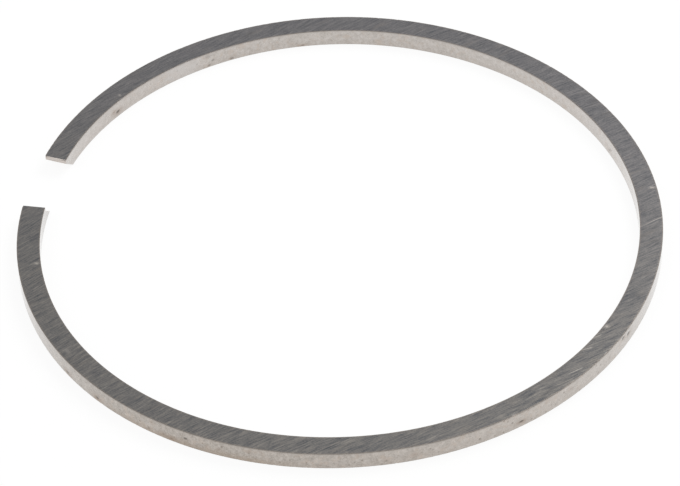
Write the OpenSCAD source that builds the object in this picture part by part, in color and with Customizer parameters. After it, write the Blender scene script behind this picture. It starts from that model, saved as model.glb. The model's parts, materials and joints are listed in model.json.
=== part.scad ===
// Compression piston ring, split, of plain rectangular section, lying free on its lower side face.
// The back of the ring is towards +X, the joint towards -X, and +Z is the axis of the cylinder.
// The free ring is not round: its curve is flatter at the back, so that once it is squeezed shut in
// its cylinder it becomes a true circle there and presses on the wall evenly all the way round.

/* [Ring] */
// Diameter of the cylinder bore that the ring closes into
bore_d = 84; // [60:1:120]
// Radial thickness, from the inner face to the running face
ring_t = 3.1; // [2:0.05:4.5]
// Axial height, between the two ground side faces
ring_h = 2.5; // [1.5:0.1:4]
// Chamfer that breaks the four long edges
edge_break = 0.05; // [0.03:0.01:0.3]

/* [Joint] */
// Gap between the two ends as the ring lies free
free_gap = 10.2; // [6:0.1:14]
// Gap that is left when the ring is closed in its bore
closed_gap = 0.4; // [0.2:0.05:1]
// Slant of the cut through the ends, measured from the ring's axis
joint_angle = 40; // [0:1:45]

/* [Hidden] */
$fn = 240;

// One radian, in degrees
radian = 180 / PI;
// Middle of the section's thickness, and half of the ring's length along it, once closed to a circle
neutral_r = (bore_d - ring_t) / 2;
half_length = PI * neutral_r - closed_gap / 2;

// Even pressure asks for a curvature that falls short of the closed circle's in step with
// 1 + cos(angle from the back). The ring is drawn with the mean of that over each quarter.
back_share = 1 + 2 / PI;
front_share = 1 - 2 / PI;

// Radii of the neutral line that a given slack asks for
function back_radius(slack) = neutral_r / (1 - slack * back_share);
function front_radius(slack) = neutral_r / (1 - slack * front_share);
// Outward direction at the joint, where the half's length runs out, and the gap between the ends there
function end_heading(back, front) = 90 + radian * (half_length - PI / 2 * back) / front;
function gap_left(back, front) = 2 * (back - front + front * sin(end_heading(back, front)));
// The slack that leaves the free gap: a first estimate, brought closer by proportion
opening = free_gap - closed_gap;
function closer(slack) =
    slack * opening / (gap_left(back_radius(slack), front_radius(slack)) - closed_gap);
slack = closer(closer(closer(opening / (3 * PI * neutral_r))));

// Both radii to a hundredth of a millimetre, as they stand on a drawing
function drawn(r) = round(r * 100) / 100;
back_r = drawn(back_radius(slack));
front_r = drawn(front_radius(slack));
heading = end_heading(back_r, front_r);
// The front arcs have their own centres, which lie on the line through the two quarter points
front_y = back_r - front_r;
end_x = front_r * cos(heading);
end_y = front_y + front_r * sin(heading);

// Length by which the front arcs run past the joint, for the slanted cut to take off
overrun = ring_h;
overrun_angle = radian * overrun / front_r;
// Block that takes the overrun off, larger each way than the end it cuts
cut_size = 2 * (ring_t + ring_h + overrun);

// Reach of the ring along X: its back, and the tip of the slanted joint at the running face
back_x = back_r + ring_t / 2;
tip_lead = (ring_h / 2 - edge_break) * tan(joint_angle);
tip_reach = sqrt(pow(front_r + ring_t / 2, 2) - pow(tip_lead, 2));
tip_x = tip_reach * cos(heading) - tip_lead * sin(heading);
middle_x = (back_x + tip_x) / 2;

// Section of the ring, with its running face towards +X and its lower side face on the X axis
module section() {
    inner = -ring_t / 2;
    outer = ring_t / 2;
    polygon([
        [inner + edge_break, 0],
        [outer - edge_break, 0],
        [outer, edge_break],
        [outer, ring_h - edge_break],
        [outer - edge_break, ring_h],
        [inner + edge_break, ring_h],
        [inner, ring_h - edge_break],
        [inner, edge_break]
    ]);
}

// An arc of the ring: the section turned about the arc's own centre
module arc(radius, from, span) {
    rotate_extrude(angle = span, start = from)
        translate([radius, 0])
            section();
}

// One front arc, from the quarter point to its end, which is cut at a slant
module front_arc(slant) {
    difference() {
        translate([0, front_y, 0])
            arc(front_r, 90, heading - 90 + overrun_angle);
        translate([end_x, end_y, ring_h / 2])
            rotate(heading)
                rotate([slant, 0, 0])
                    translate([-cut_size / 2, 0, -cut_size / 2])
                        cube(cut_size);
    }
}

// Cast iron, turned, split with one slanted cut, and ground on both side faces
module piston_ring() {
    color("dimgray")
        translate([-middle_x, 0, 0])
            union() {
                arc(back_r, -90, 180);
                front_arc(-joint_angle);
                mirror([0, 1, 0]) front_arc(joint_angle);
            }
}

piston_ring();
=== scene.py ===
"""Looks of a split compression piston ring of cast iron, lying free on a white table."""
import json
import math

import bmesh
import bpy
from mathutils import Matrix, Vector, noise


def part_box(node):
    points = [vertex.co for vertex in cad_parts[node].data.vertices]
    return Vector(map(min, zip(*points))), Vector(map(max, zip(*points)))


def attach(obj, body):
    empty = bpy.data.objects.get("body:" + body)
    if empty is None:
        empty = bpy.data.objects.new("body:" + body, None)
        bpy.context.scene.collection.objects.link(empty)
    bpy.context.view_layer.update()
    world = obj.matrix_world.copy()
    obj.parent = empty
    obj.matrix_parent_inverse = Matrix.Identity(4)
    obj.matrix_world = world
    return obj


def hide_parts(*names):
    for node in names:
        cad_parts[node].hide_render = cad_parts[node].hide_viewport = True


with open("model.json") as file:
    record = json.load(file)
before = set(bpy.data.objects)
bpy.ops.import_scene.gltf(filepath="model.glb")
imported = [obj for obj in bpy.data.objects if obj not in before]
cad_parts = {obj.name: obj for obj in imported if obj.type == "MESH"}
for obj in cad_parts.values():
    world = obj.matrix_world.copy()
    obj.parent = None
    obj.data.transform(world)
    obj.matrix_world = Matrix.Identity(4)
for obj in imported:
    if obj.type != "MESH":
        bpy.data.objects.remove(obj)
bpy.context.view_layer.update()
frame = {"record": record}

# Camera
# It looks down on the ring from its near side, a little towards the back, through a long lens that
# flattens the view, and leans by a degree or two, as the photograph does.
MM = 0.001
camera_azimuth = math.radians(15.82)
camera_elevation = math.radians(42.18)
camera_lean = math.radians(-1.835)
camera_distance = 534.3 * MM
camera_target = Vector((0.073 * MM, -1.234 * MM, 0))

camera_data = bpy.data.cameras.new("camera")
camera_data.sensor_width = 36
camera_data.lens = 210.5
camera_data.clip_end = 20
camera = bpy.data.objects.new("camera", camera_data)
turn = Matrix.Rotation(camera_azimuth, 4, "Z")
tip = Matrix.Rotation(math.pi / 2 - camera_elevation, 4, "X")
lean = Matrix.Rotation(camera_lean, 4, "Z")
step_back = Matrix.Translation((0, 0, camera_distance))
camera.matrix_world = Matrix.Translation(camera_target) @ turn @ tip @ step_back @ lean
bpy.context.scene.collection.objects.link(camera)
bpy.context.scene.camera = camera
bpy.context.scene.view_settings.view_transform = "Standard"

# Ring blank
# One piece of grey cast iron, cut from a turned pot and sprung open at its joint. Its free curve is
# a half turn at the back and two tangent arcs of a smaller radius that run to the joint.
# The section is a plain rectangle with its edges just broken.
low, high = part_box("piston_ring")
mounts = {mount["name"]: mount for mount in frame["record"]["mounts"]}
running_face = mounts["running_face"]
ring_h = high.z - low.z
ring_t = 2 * (running_face["pos_m"][0] - mounts["upper_side_face"]["pos_m"][0])
back_r = high.y - ring_t / 2
front_r = 40.84 * MM
closed_gap = 0.4 * MM
closed_r = running_face["dims"]["r_mm"] * MM - ring_t / 2
half_length = math.pi * closed_r - closed_gap / 2
end_heading = math.pi / 2 + (half_length - math.pi / 2 * back_r) / front_r
back_centre = Vector((high.x - high.y, 0, 0))
far_centre = back_centre + Vector((0, back_r - front_r, 0))
near_centre = back_centre - Vector((0, back_r - front_r, 0))
overrun = ring_h / front_r
edge_break = 0.03 * MM
mesh_step = 0.17 * MM
merge_gap = 0.001 * MM
arc_pieces = 24
wall_cuts = 11


def make_arc(centre, radius, first_heading, span):
    """Turns the section into a short piece of an arc and repeats that round the arc's centre."""
    arc = bmesh.new()
    stand_up = Matrix.Rotation(math.pi / 2, 4, "X") @ Matrix.Diagonal((ring_t, ring_h, 1, 1))
    place = Matrix.Translation(centre + Vector((radius, 0, ring_h / 2)))
    bmesh.ops.create_grid(arc, x_segments=1, y_segments=1, size=0.5, matrix=place @ stand_up)
    bmesh.ops.bevel(arc, geom=arc.verts[:], offset=edge_break, segments=3, profile=0.5,
                    affect="VERTICES", material=-1)
    bmesh.ops.delete(arc, geom=arc.faces[:], context="FACES_ONLY")
    long_edges = [edge for edge in arc.edges if edge.calc_length() > ring_h / 2]
    bmesh.ops.subdivide_edges(arc, edges=long_edges, cuts=wall_cuts)
    bmesh.ops.rotate(arc, verts=arc.verts[:], cent=centre,
                     matrix=Matrix.Rotation(first_heading, 3, "Z"))
    piece_span = span / arc_pieces
    bmesh.ops.spin(arc, geom=arc.verts[:] + arc.edges[:], cent=centre, axis=(0, 0, 1),
                   angle=piece_span, steps=round(radius * piece_span / mesh_step))
    bmesh.ops.spin(arc, geom=arc.verts[:] + arc.edges[:] + arc.faces[:], cent=centre, axis=(0, 0, 1),
                   angle=span - piece_span, steps=arc_pieces - 1, use_duplicate=True)
    arc_mesh = bpy.data.meshes.new("arc")
    arc.to_mesh(arc_mesh)
    arc.free()
    return arc_mesh


ring = bmesh.new()
front_span = end_heading + overrun - math.pi / 2
for centre, radius, first_heading, span in (
        (near_centre, front_r, -end_heading - overrun, front_span),
        (back_centre, back_r, -math.pi / 2, math.pi),
        (far_centre, front_r, math.pi / 2, front_span)):
    arc_mesh = make_arc(centre, radius, first_heading, span)
    ring.from_mesh(arc_mesh)
    bpy.data.meshes.remove(arc_mesh)
bmesh.ops.remove_doubles(ring, verts=ring.verts[:], dist=merge_gap)

# Joint
# The ring is split by one thin cut, square through its upper part and then at a slant, so the ends
# match and overlap when the ring closes. The burr is taken off, which leaves a fine chamfer.
joint_angle = math.radians(40)
square_land = 0.65 * MM
end_chamfer = 0.06 * MM
half_lean = math.tan(joint_angle) * ring_h / 2
slant = 2 * half_lean / (ring_h - square_land)
fold_height = Vector((0, 0, ring_h - square_land))
end_reach = 3 * ring_h


def behind_cut(end, point):
    """How far a point lies behind the cut of an end, along the ring."""
    corner, onward, way_out = end
    cut = min((point.z - corner.z) * slant, 0)
    return way_out * (cut - (point - corner).dot(onward))


def cut_end(centre, heading, way_out):
    """Cuts the overrun off one end of the ring; way_out is 1 or -1 along growing heading."""
    arm = Vector((math.cos(heading), math.sin(heading), 0))
    onward = Vector((-arm.y, arm.x, 0))
    middle = centre + arm * front_r
    corner = middle + onward * (half_lean - way_out * end_chamfer / 2) + fold_height
    end = corner, onward, way_out

    def close_by(point):
        """Whether a point belongs to this end of the ring."""
        return (point - middle).length < end_reach

    for normal in (onward, (onward - Vector((0, 0, slant))).normalized()):
        stub = [face for face in ring.faces if close_by(face.calc_center_median())]
        edges = dict.fromkeys(edge for face in stub for edge in face.edges)
        verts = dict.fromkeys(vert for face in stub for vert in face.verts)
        bmesh.ops.bisect_plane(ring, geom=stub + list(edges) + list(verts), dist=merge_gap / 10,
                               plane_co=corner, plane_no=normal)
    stub = [face for face in ring.faces if close_by(face.calc_center_median())]
    waste = [face for face in stub if behind_cut(end, face.calc_center_median()) < 0]
    bmesh.ops.delete(ring, geom=waste, context="FACES")
    rim = [edge for edge in ring.edges if edge.is_boundary and close_by(edge.verts[0].co)]
    rim_verts = dict.fromkeys(vert for edge in rim for vert in edge.verts)
    fold_verts = [vert for vert in rim_verts if abs(vert.co.z - corner.z) < merge_gap / 2]
    fold = ring.edges.new(fold_verts)
    upper = [edge for edge in rim if sum(vert.co.z for vert in edge.verts) > 2 * corner.z]
    lower = [edge for edge in rim if edge not in upper]
    faces = []
    for loop in (upper, lower):
        faces += bmesh.ops.edgeloop_fill(ring, edges=loop + [fold])["faces"]
    bmesh.ops.recalc_face_normals(ring, faces=ring.faces[:])
    bmesh.ops.inset_region(ring, faces=faces, thickness=end_chamfer, depth=end_chamfer / 2,
                           use_even_offset=True)
    return end


far_end = cut_end(far_centre, end_heading, 1)
near_end = cut_end(near_centre, -end_heading, -1)
bmesh.ops.recalc_face_normals(ring, faces=ring.faces[:])

# Side faces and walls
# The two side faces are ground flat and dark, out to the broken edges. The walls keep their pale
# turned surface, and the ends that of the cut. A crisp line parts the flats, edges, walls and ends.
GROUND, TURNED, SAWN = 0, 1, 2
crisp_angle = math.radians(35)
flat_gap = 0.00001 * MM
edge_zone = 1.01 * edge_break
most_sides = 12


def along_ring(heading):
    """Length along the middle of the ring, from its back to a heading, signed as the heading is."""
    angle = abs(heading)
    length = back_r * min(angle, math.pi / 2) + front_r * max(angle - math.pi / 2, 0)
    return math.copysign(length, heading)


def on_ring(point):
    """Outward direction at a point, its length along the ring and its offset from the middle."""
    centre, radius = back_centre, back_r
    if point.x < back_centre.x:
        centre = far_centre if point.y > 0 else near_centre
        radius = front_r
    arm = Vector((point.x - centre.x, point.y - centre.y, 0))
    heading = math.atan2(arm.y, arm.x)
    return arm.normalized(), along_ring(heading), arm.length - radius


def near_surface(size, from_middle):
    """Whether a place lies on a surface of this thickness or height, or on the broken edge beside it."""
    return size / 2 - abs(from_middle) < edge_zone


def left_by_cut(face):
    """Whether a face is one that the cut left, which has more sides than any other."""
    return len(face.verts) > most_sides


ring.verts.index_update()
wall_verts = {vert.index for vert in ring.verts if near_surface(ring_t, on_ring(vert.co)[2])}
side_verts = {vert.index for vert in ring.verts if near_surface(ring_h, vert.co.z - ring_h / 2)}
edge_verts = wall_verts & side_verts
flats, breaks, ends = set(), set(), set()
for face in ring.faces:
    if all(min(abs(vert.co.z), abs(vert.co.z - ring_h)) < flat_gap for vert in face.verts):
        flats.add(face)
    elif all(vert.index in edge_verts for vert in face.verts):
        breaks.add(face)
    elif left_by_cut(face):
        ends.add(face)
    face.material_index = GROUND if face in flats or face in breaks else TURNED
    face.smooth = True
for face in {face for end in ends for vert in end.verts for face in vert.link_faces}:
    face.material_index = SAWN
for edge in ring.edges:
    kinds = {(face in flats, face in breaks, face in ends) for face in edge.link_faces}
    edge.smooth = len(kinds) == 1 and edge.calc_face_angle(0) < crisp_angle

# Wear
# Handling and the grinding wheel leave chips along the edges, bright nicks in the ground faces, and
# the casting leaves small pits with rusty rims in the walls. Each is a dent in the metal.


def placed(marks):
    """The same marks, with their length along the ring in place of their heading in degrees."""
    return [(along_ring(math.radians(heading)), *sizes) for heading, *sizes in marks]


# Pits: heading in degrees, height, half length, half height and depth in millimetres, rust round it
outer_pits = placed([
    (-42.7, 0.90, 0.40, 0.16, 0.10, 1.0),
    (-15.0, 1.56, 0.45, 0.24, 0.10, 0.6),
    (-16.9, 1.95, 0.42, 0.22, 0.10, 0.6),
    (-67.0, 0.72, 0.26, 0.13, 0.06, 0.3),
    (-101.7, 1.32, 0.30, 0.20, 0.08, 0.1),
    (-62.2, 1.10, 0.30, 0.22, 0.03, 0.6),
    (-104.5, 0.42, 0.30, 0.20, 0.04, 0.9),
    (-106.1, 0.70, 0.26, 0.18, 0.04, 0.7),
    (-121.2, 0.58, 0.38, 0.26, 0.06, 1.0),
    (-129.8, 0.55, 0.42, 0.26, 0.06, 1.0),
    (-95.4, 1.10, 0.22, 0.14, 0.03, 0.5),
    (-90.0, 1.87, 0.22, 0.14, 0.03, 0.5),
    (-31.9, 1.55, 0.28, 0.18, 0.03, 0.3),
    (-21.6, 1.37, 0.26, 0.18, 0.03, 0.3),
])
inner_pits = placed([
    (156.2, 0.82, 0.42, 0.22, 0.08, 0.9),
    (157.4, 1.22, 0.30, 0.16, 0.04, 0.9),
    (152.2, 2.38, 0.40, 0.12, 0.04, 0.1),
    (132.4, 0.31, 0.42, 0.22, 0.05, 0.1),
    (131.5, 1.02, 0.40, 0.28, 0.045, 0.0),
    (132.7, 1.95, 1.20, 0.50, 0.030, 0.0),
    (127.3, 0.30, 0.50, 0.22, 0.05, 0.1),
    (112.1, 0.22, 0.40, 0.12, 0.05, 0.6),
    (36.8, 1.08, 0.27, 0.21, 0.06, 0.1),
    (37.5, 0.70, 0.27, 0.21, 0.06, 0.1),
])
# Nicks in the upper side face: heading in degrees, then offset from the middle of the section, half
# length, half width and depth in millimetres
top_nicks = placed([
    (-157.1, -1.02, 0.18, 0.27, 0.05),
    (22.4, 0.96, 0.18, 0.38, 0.038),
    (-16.4, -0.98, 0.30, 0.27, 0.034),
    (154.2, -0.78, 0.16, 0.24, 0.034),
    (-132.0, 0.45, 0.45, 0.30, 0.017),
])
# Chips along the upper outer edge: heading in degrees, half length and depth in millimetres
edge_chips = placed([
    (-44.0, 0.30, 0.05),
    (-31.1, 0.26, 0.04),
    (-22.3, 0.30, 0.05),
    (-18.3, 0.30, 0.04),
    (-132.7, 0.26, 0.05),
])
dent_reach = 4
chip_reach = 3
chip_width = 0.1 * MM
chip_rise = Vector((0, 0, 0.6))
dark_depth = 0.08
bright_depth = 0.05
halo_size = 2.2
coarse_step = 1.3 * MM
fine_step = 0.5 * MM
even_wear = 0.006 * MM
outer_wear = 0.04 * MM
inner_wear = 0.012 * MM
wear_each_way = 0.7
corner_wear = 0.03 * MM
corner_length = 0.3 * MM
corner_zone = 2 * ring_h
corner_sharpness = 8


def dent(across, half_across, beside, half_beside):
    """Share of a dent's depth at a distance from its middle, each way."""
    return math.exp(-(across / half_across) ** 2 - (beside / half_beside) ** 2)


pit_layer = ring.verts.layers.float.new("pit")
rust_layer = ring.verts.layers.float.new("rust")
bare_layer = ring.verts.layers.float.new("bare")
inner_layer = ring.verts.layers.float.new("inner")
rim_layer = ring.verts.layers.float.new("rim")
ring_end = along_ring(end_heading)
for vert in ring.verts:
    outward, length, offset = on_ring(vert.co)
    height = vert.co.z
    on_wall = vert.index in wall_verts
    on_side = vert.index in side_verts
    outer = offset > 0
    shift = Vector()
    vert[inner_layer] = not outer
    vert[rim_layer] = on_wall
    if outer and abs(length) > ring_end - corner_zone:
        from_end = behind_cut(far_end if length > 0 else near_end, vert.co)
        closeness = max(1 - from_end / corner_length, 0)
        shift -= corner_wear * closeness ** 2 * (offset / ring_t * 2) ** corner_sharpness * outward
    if on_wall and on_side:
        upper = height > ring_h / 2
        row = 10 * outer + 20 * upper
        coarse = noise.noise(Vector((length / coarse_step, row, 0)))
        fine = noise.noise(Vector((length / fine_step, row, 5)))
        wear = even_wear * (1 + coarse) + (outer_wear if outer else inner_wear) * max(fine, 0)
        shift -= wear * outward * math.copysign(wear_each_way, offset)
        shift -= wear * Vector((0, 0, math.copysign(wear_each_way, height - ring_h / 2)))
    if on_wall:
        for place, pit_z, half_l, half_z, depth, rust in (outer_pits if outer else inner_pits):
            apart = length - place
            if abs(apart) < dent_reach * half_l * MM:
                share = dent(apart, half_l * MM, height - pit_z * MM, half_z * MM)
                halo = dent(apart, halo_size * half_l * MM, height - pit_z * MM, halo_size * half_z * MM)
                shift -= share * depth * MM * outward * math.copysign(1, offset)
                vert[pit_layer] = max(vert[pit_layer], share * min(depth / dark_depth, 1))
                vert[rust_layer] = max(vert[rust_layer], halo * rust)
    if on_side and height > ring_h / 2:
        for place, nick_o, half_l, half_o, depth in top_nicks:
            apart = length - place
            if abs(apart) < dent_reach * half_l * MM:
                share = dent(apart, half_l * MM, offset - nick_o * MM, half_o * MM)
                shift.z -= share * depth * MM
                vert[bare_layer] = max(vert[bare_layer], share * min(depth / bright_depth, 1))
        for place, half_l, depth in edge_chips:
            apart = length - place
            if abs(apart) < chip_reach * half_l * MM:
                share = dent(apart, half_l * MM, offset - ring_t / 2, chip_width)
                shift -= share * depth * MM * (outward + chip_rise)
    vert.co += shift
bmesh.ops.poke(ring, faces=[face for face in ring.faces if left_by_cut(face)])

ring_mesh = bpy.data.meshes.new("piston_ring_finished")
ring.to_mesh(ring_mesh)
ring.free()
finished_ring = bpy.data.objects.new("piston_ring_finished", ring_mesh)
bpy.context.scene.collection.objects.link(finished_ring)

# Ground side faces
# Surface ground on a wheel, which leaves fine lines that run across the ring in nearly one direction,
# light where the metal is fresh and dark where it is smeared.


class Wire:
    """One value in a material's node tree. Arithmetic on it adds Math nodes to the tree."""

    def __init__(self, tree, socket=None):
        self.tree = tree
        self.socket = socket

    def node(self, kind, settings, sockets, output=None):
        """Adds a node, sets it up, feeds its sockets with values or wires and returns one output."""
        made = self.tree.nodes.new(kind)
        for name, value in settings.items():
            setattr(made, name, value)
        for name, value in sockets.items():
            socket = next(s for s in made.inputs if s.enabled and name in (s.name, s.identifier))
            if isinstance(value, Wire):
                self.tree.links.new(value.socket, socket)
            else:
                socket.default_value = value
        return Wire(self.tree, next(s for s in made.outputs if s.enabled and output in (None, s.name)))

    def maths(self, operation, first, second):
        return self.node("ShaderNodeMath", {"operation": operation}, {"Value": first, "Value_001": second})

    def __add__(self, other):
        return self.maths("ADD", self, other)

    def __sub__(self, other):
        return self.maths("SUBTRACT", self, other)

    def __rsub__(self, other):
        return self.maths("SUBTRACT", other, self)

    def __mul__(self, other):
        return self.maths("MULTIPLY", self, other)

    __radd__ = __add__
    __rmul__ = __mul__

    def least(self, other):
        return self.maths("MINIMUM", self, other)

    def most(self, other):
        return self.maths("MAXIMUM", self, other)

    def step(self, start, end):
        """Rises smoothly from 0 at start to 1 at end."""
        return self.node("ShaderNodeMapRange", {"interpolation_type": "SMOOTHSTEP"},
                         {"Value": self, "From Min": start, "From Max": end})

    def blend(self, first, second):
        """Mixes two colours by this value."""
        return self.node("ShaderNodeMix", {"data_type": "RGBA"},
                         {"Factor": self, "A": first, "B": second})

    def grain(self, scale, detail, roughness=0.5):
        """Noise about zero at the places that this vector gives."""
        made = self.node("ShaderNodeTexNoise", {},
                         {"Vector": self, "Scale": scale, "Detail": detail, "Roughness": roughness})
        return made - 0.5

    def axis(self, name):
        """One coordinate of the places that this vector gives, in millimetres."""
        return self.node("ShaderNodeSeparateXYZ", {}, {"Vector": self}, name) * (1 / MM)

    def stored(self, name):
        """A value that the mesh stores at its points."""
        return self.node("ShaderNodeAttribute", {"attribute_name": name}, {}, "Fac")

    def feed(self, shader, name):
        """Links this value to a socket of a shader or an output."""
        self.tree.links.new(self.socket, shader.inputs[name])

    def raise_surface(self, shader, strength, distance):
        """Raises and lowers the surface of a shader by this value."""
        sockets = {"Strength": strength, "Distance": distance, "Height": self}
        self.node("ShaderNodeBump", {}, sockets).feed(shader, "Normal")


def new_material(name):
    """A material, its shader node and a wire to start from."""
    material = bpy.data.materials.new(name)
    material.use_nodes = True
    return material, material.node_tree.nodes["Principled BSDF"], Wire(material.node_tree)


def grey(red, green, blue):
    """A colour written as it shows on a screen, from 0 to 255, in the shader's own scale."""
    return tuple(((value / 255 + 0.055) / 1.055) ** 2.4 for value in (red, green, blue)) + (1,)


ground, ground_shader, wire = new_material("ground_iron")
spot = wire.node("ShaderNodeTexCoord", {}, {}, "Object")
x, y, z = [spot.axis(name) for name in "XYZ"]
left = x.least(0)
sway = spot.grain(0.25 / MM, 0)
line_slope = 1.04
line_bend = 0.005
line_sway = 0.7
diagonal = 0.7
across = y - x * line_slope + left * left * line_bend + sway * line_sway
along = (x + y) * diagonal


def lines(width, length, seed, detail):
    """Noise drawn out along the grinding lines, with lines of a width and length in millimetres."""
    drawn = wire.node("ShaderNodeCombineXYZ", {},
                      {"X": across * (diagonal / width), "Y": along * (1 / length), "Z": z + seed})
    return drawn.grain(1, detail)


def bowed_line(start, end, bow, half_width):
    """1 along a bowed line between two points of the upper face, in millimetres, and 0 beside it: a
    scratch, or the painted shadow along one.
    """
    run, rise = end[0] - start[0], end[1] - start[1]
    reach = math.hypot(run, rise)
    onward = ((x - start[0]) * run + (y - start[1]) * rise) * (1 / reach)
    beside = ((y - start[1]) * run - (x - start[0]) * rise) * (1 / reach)
    beside = beside - onward * (reach - onward) * (4 * bow / reach ** 2)
    line = 1 - beside.most(beside * -1).step(0, half_width)
    return line * onward.step(0, reach * 0.6) * (1 - onward.step(reach * 0.9, reach))


fine = lines(0.19, 2.6, 1.3, 2)
hair = lines(0.11, 1.8, 15.1, 1)
bands = lines(0.5, 4, 4.7, 1)
cuts = lines(0.12, 2.4, 7.1, 1).step(0.16, 0.32)
smears = lines(0.14, 2.2, 11.9, 1).step(0.14, 0.32)
warmth = lines(0.8, 4, 21.5, 1).step(0.05, 0.3)
speck = spot.grain(4 / MM, 2, 0.6)
mottle = spot.grain(1 / MM, 1)
to_far_side = y.step(-25, 35)
faint = 0.9 - to_far_side * 0.2
tone = (fine * 1.2 + hair * 1.2 + bands * 0.35) * faint + speck * 0.8 + mottle * 0.3 + 0.48
fresh_metal = to_far_side.blend(grey(124, 120, 115), grey(123, 120, 120))
ground_colour = tone.blend(grey(73, 75, 79), fresh_metal)
ground_colour = (warmth * 0.18).blend(ground_colour, grey(112, 104, 96))
ground_colour = (smears * 0.3 * faint).blend(ground_colour, grey(70, 73, 79))
ground_colour = (cuts * 0.5 * faint).blend(ground_colour, grey(148, 144, 139))
# Painted shadow: each dark line lies along a bright scratch as the shade beside it; the bright lines are
# the fresh metal of the scratches.
scratch_shadows = [
    ((39.2, 7.9), (41.6, 10.6), 0.14, 0.15),
    ((35.2, -22.4), (36.8, -20.8), 0, 0.14),
    ((36.4, -17.6), (38.0, -16.2), 0, 0.16),
    ((38.6, -15.6), (39.9, -14.4), 0, 0.12),
]
bright_scratches = [
    ((39.2, 8.1), (42.1, 11.4), 0.14, 0.13),
    ((35.0, -22.3), (37.4, -19.8), 0, 0.12),
    ((36.0, -17.2), (37.7, -15.9), 0, 0.16),
    ((37.4, -14.3), (38.4, -13.3), 0, 0.12),
]
for shade, marks in ((grey(80, 82, 86), scratch_shadows), (grey(172, 166, 159), bright_scratches)):
    for start, end, bow, half_width in marks:
        ground_colour = (bowed_line(start, end, bow, half_width) * 0.5).blend(ground_colour, shade)
# Painted highlight: a pale warm line along the broken edges of the side faces.
rim = wire.stored("rim")
ground_colour = (rim * rim * 0.55).blend(ground_colour, grey(132, 122, 113))
ground_colour = (wire.stored("bare") * 0.72).blend(ground_colour, grey(180, 173, 165))
ground_colour.feed(ground_shader, "Base Color")
(0.4 + fine * 0.15 - cuts * 0.06).feed(ground_shader, "Roughness")
ground_shader.inputs["Metallic"].default_value = 1
(fine + speck * 0.5 - cuts * 0.5).raise_surface(ground_shader, 0.25, 0.01 * MM)

# Turned walls
# Turned in the lathe and left matt: pale warm grey iron with a fine grain, cloudy with beige and grey,
# smooth in one place, and brown along the lower edge where oil and dust have settled.
oily_place = (-9, -43, 0)
smooth_place = (-30.3, 27.3, 1.4)
turned, turned_shader, wire = new_material("turned_iron")
spot = wire.node("ShaderNodeTexCoord", {}, {}, "Object")
height = spot.axis("Z")


def away_from(place):
    """Distance from a place on the walls, in millimetres."""
    sockets = {"Vector": spot, "Vector_001": Vector(place) * MM}
    return wire.node("ShaderNodeVectorMath", {"operation": "DISTANCE"}, sockets, "Value") * (1 / MM)


sand = spot.grain(4 / MM, 3, 0.65)
cloud = spot.grain(1.6 / MM, 2)
drift = spot.grain(0.3 / MM, 1)
tint = spot.grain(1.3 / MM, 1) + drift * 0.6
inner = wire.stored("inner")
tone = sand * (1.8 - inner * 0.4) + cloud * 1.2 + 0.5
running_colour = tone.blend(grey(149, 141, 132), grey(195, 187, 179))
inner_colour = tone.blend(grey(168, 161, 154), grey(203, 197, 192))
turned_colour = inner.blend(running_colour, inner_colour)
towards_back = spot.axis("X")
# Painted light: the walls are painted paler towards the back of the ring, the inner wall more so.
painted_light_to_back = towards_back.step(-5, 40) * (0.3 + inner * 0.2)
turned_colour = painted_light_to_back.blend(turned_colour, grey(212, 206, 201))
turned_colour = (tint.step(0, 0.3) * 0.4).blend(turned_colour, grey(184, 167, 152))
# Painted light: the inner wall is painted paler towards the joint as well.
painted_light_to_joint = inner * towards_back.step(-24, -34)
turned_colour = (painted_light_to_joint * 0.25).blend(turned_colour, grey(208, 201, 196))
smooth = 1 - away_from(smooth_place).step(1.5, 4)
turned_colour = (smooth * 0.5).blend(turned_colour, grey(198, 194, 191))
scuffed = (height + sand * 0.6).step(2.2, 2.5)
turned_colour = (scuffed * 0.4).blend(turned_colour, grey(128, 122, 116))
cells = wire.node("ShaderNodeTexVoronoi", {}, {"Vector": spot, "Scale": 0.9 / MM}, "Distance")
pores = (1 - cells.step(0.05, 0.2)) * (0.6 - inner * 0.4)
turned_colour = pores.blend(turned_colour, grey(112, 98, 85))
low_edge = 1 - (height + sand * 1.2 + drift).step(0.2, 1.3)
brown = low_edge * (0.6 - away_from(oily_place).step(6, 18) * 0.5)
turned_colour = brown.blend(turned_colour, grey(150, 132, 114))
turned_colour = (wire.stored("rust") * (0.6 + sand)).blend(turned_colour, grey(137, 112, 90))
dark = wire.stored("pit").step(0.15, 0.75) * 0.85
turned_colour = dark.blend(turned_colour, grey(82, 74, 66))
turned_colour.feed(turned_shader, "Base Color")
(0.3 + sand * 0.2).feed(turned_shader, "Roughness")
turned_shader.inputs["Metallic"].default_value = 1
turned_shader.inputs["Coat Weight"].default_value = 1
turned_shader.inputs["Coat Roughness"].default_value = 0.05
sand.raise_surface(turned_shader, 0.4, 0.02 * MM)

# Sawn ends
# The end faces of the same iron, bare and a little paler than the walls. The cutter that parts the
# ring leaves them dry and matt, with fine marks across the ring's thickness.
sawn, sawn_shader, wire = new_material("sawn_iron")
spot = wire.node("ShaderNodeTexCoord", {}, {}, "Object")
drawn = wire.node("ShaderNodeMapping", {}, {"Vector": spot, "Scale": (0.5 / MM, 6 / MM, 6 / MM)})
marks = drawn.grain(1, 2)
sawn_colour = (marks * 1.6 + 0.5).blend(grey(208, 202, 197), grey(232, 226, 221))
sawn_colour.feed(sawn_shader, "Base Color")
sawn_shader.inputs["Roughness"].default_value = 0.85
sawn_shader.inputs["Metallic"].default_value = 1
marks.raise_surface(sawn_shader, 0.4, 0.02 * MM)

for finish in (ground, turned, sawn):
    ring_mesh.materials.append(finish)
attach(finished_ring, "root")
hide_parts("piston_ring")

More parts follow.
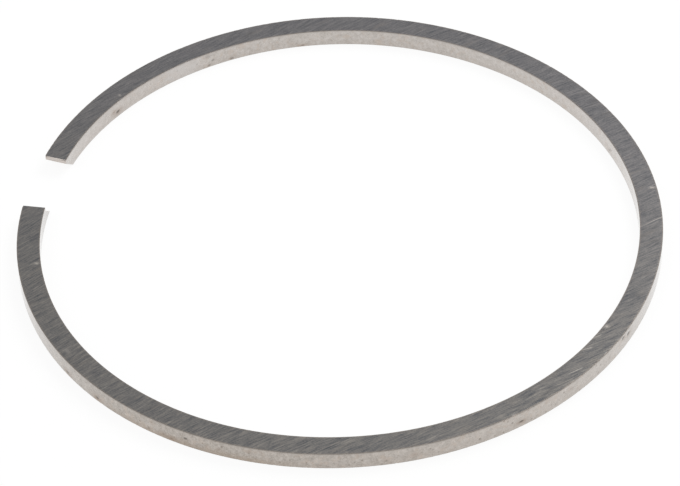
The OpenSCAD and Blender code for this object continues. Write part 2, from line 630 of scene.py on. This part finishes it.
# Table and light
# The ring lies on a white table in a white room, lit evenly from all round, with one soft lamp high
# behind it to the right and a weaker one in front. The table keeps the ring's faint shadow.
table_size = 6.0
table_gap = 0.01 * MM
table_glow = 0.9
room_level = 0.75
table = bmesh.new()
bmesh.ops.create_grid(table, x_segments=1, y_segments=1, size=table_size / 2,
                      matrix=Matrix.Translation((0, 0, low.z - table_gap)))
table_mesh = bpy.data.meshes.new("table")
table.to_mesh(table_mesh)
table.free()
table_top = bpy.data.objects.new("table", table_mesh)
bpy.context.scene.collection.objects.link(table_top)


def seen_directly(wire):
    """1 for what the camera sees, straight or in metal or through glass, and 0 for other light."""
    kinds = ("Is Camera Ray", "Is Glossy Ray", "Is Transmission Ray")
    rays = [wire.node("ShaderNodeLightPath", {}, {}, kind) for kind in kinds]
    return rays[0].most(rays[1]).most(rays[2])


white, white_shader, wire = new_material("table_white")
white_shader.inputs["Base Color"].default_value = (0.9, 0.9, 0.9, 1)
white_shader.inputs["Roughness"].default_value = 0.9
glow = wire.node("ShaderNodeEmission", {}, {"Color": (1, 1, 1, 1), "Strength": 1})
plain = Wire(white.node_tree, white_shader.outputs[0])
lit = wire.node("ShaderNodeMixShader", {},
                {"Fac": seen_directly(wire) * table_glow, "Shader": plain, "Shader_001": glow})
lit.feed(white.node_tree.nodes["Material Output"], "Surface")
table_mesh.materials.append(white)

room = bpy.data.worlds.new("room")
room.use_nodes = True
bpy.context.scene.world = room
wire = Wire(room.node_tree)
room_light = room.node_tree.nodes["Background"]
room_light.inputs["Color"].default_value = (1, 1, 1, 1)
room_strength = room_level + seen_directly(wire) * (1 - room_level)
room_strength.feed(room_light, "Strength")


def soft_lamp(name, place, size, power):
    """A square soft lamp that faces the middle of the ring."""
    data = bpy.data.lights.new(name, "AREA")
    data.size = size
    data.energy = power
    lamp = bpy.data.objects.new(name, data)
    lamp.location = place
    lamp.rotation_euler = Vector(place).to_track_quat("Z", "Y").to_euler()
    bpy.context.scene.collection.objects.link(lamp)


soft_lamp("lamp_behind", (0.173, 0.26, 0.40), 0.3, 1.25)
soft_lamp("lamp_in_front", (-0.5, -0.6, 0.9), 0.6, 2.0)
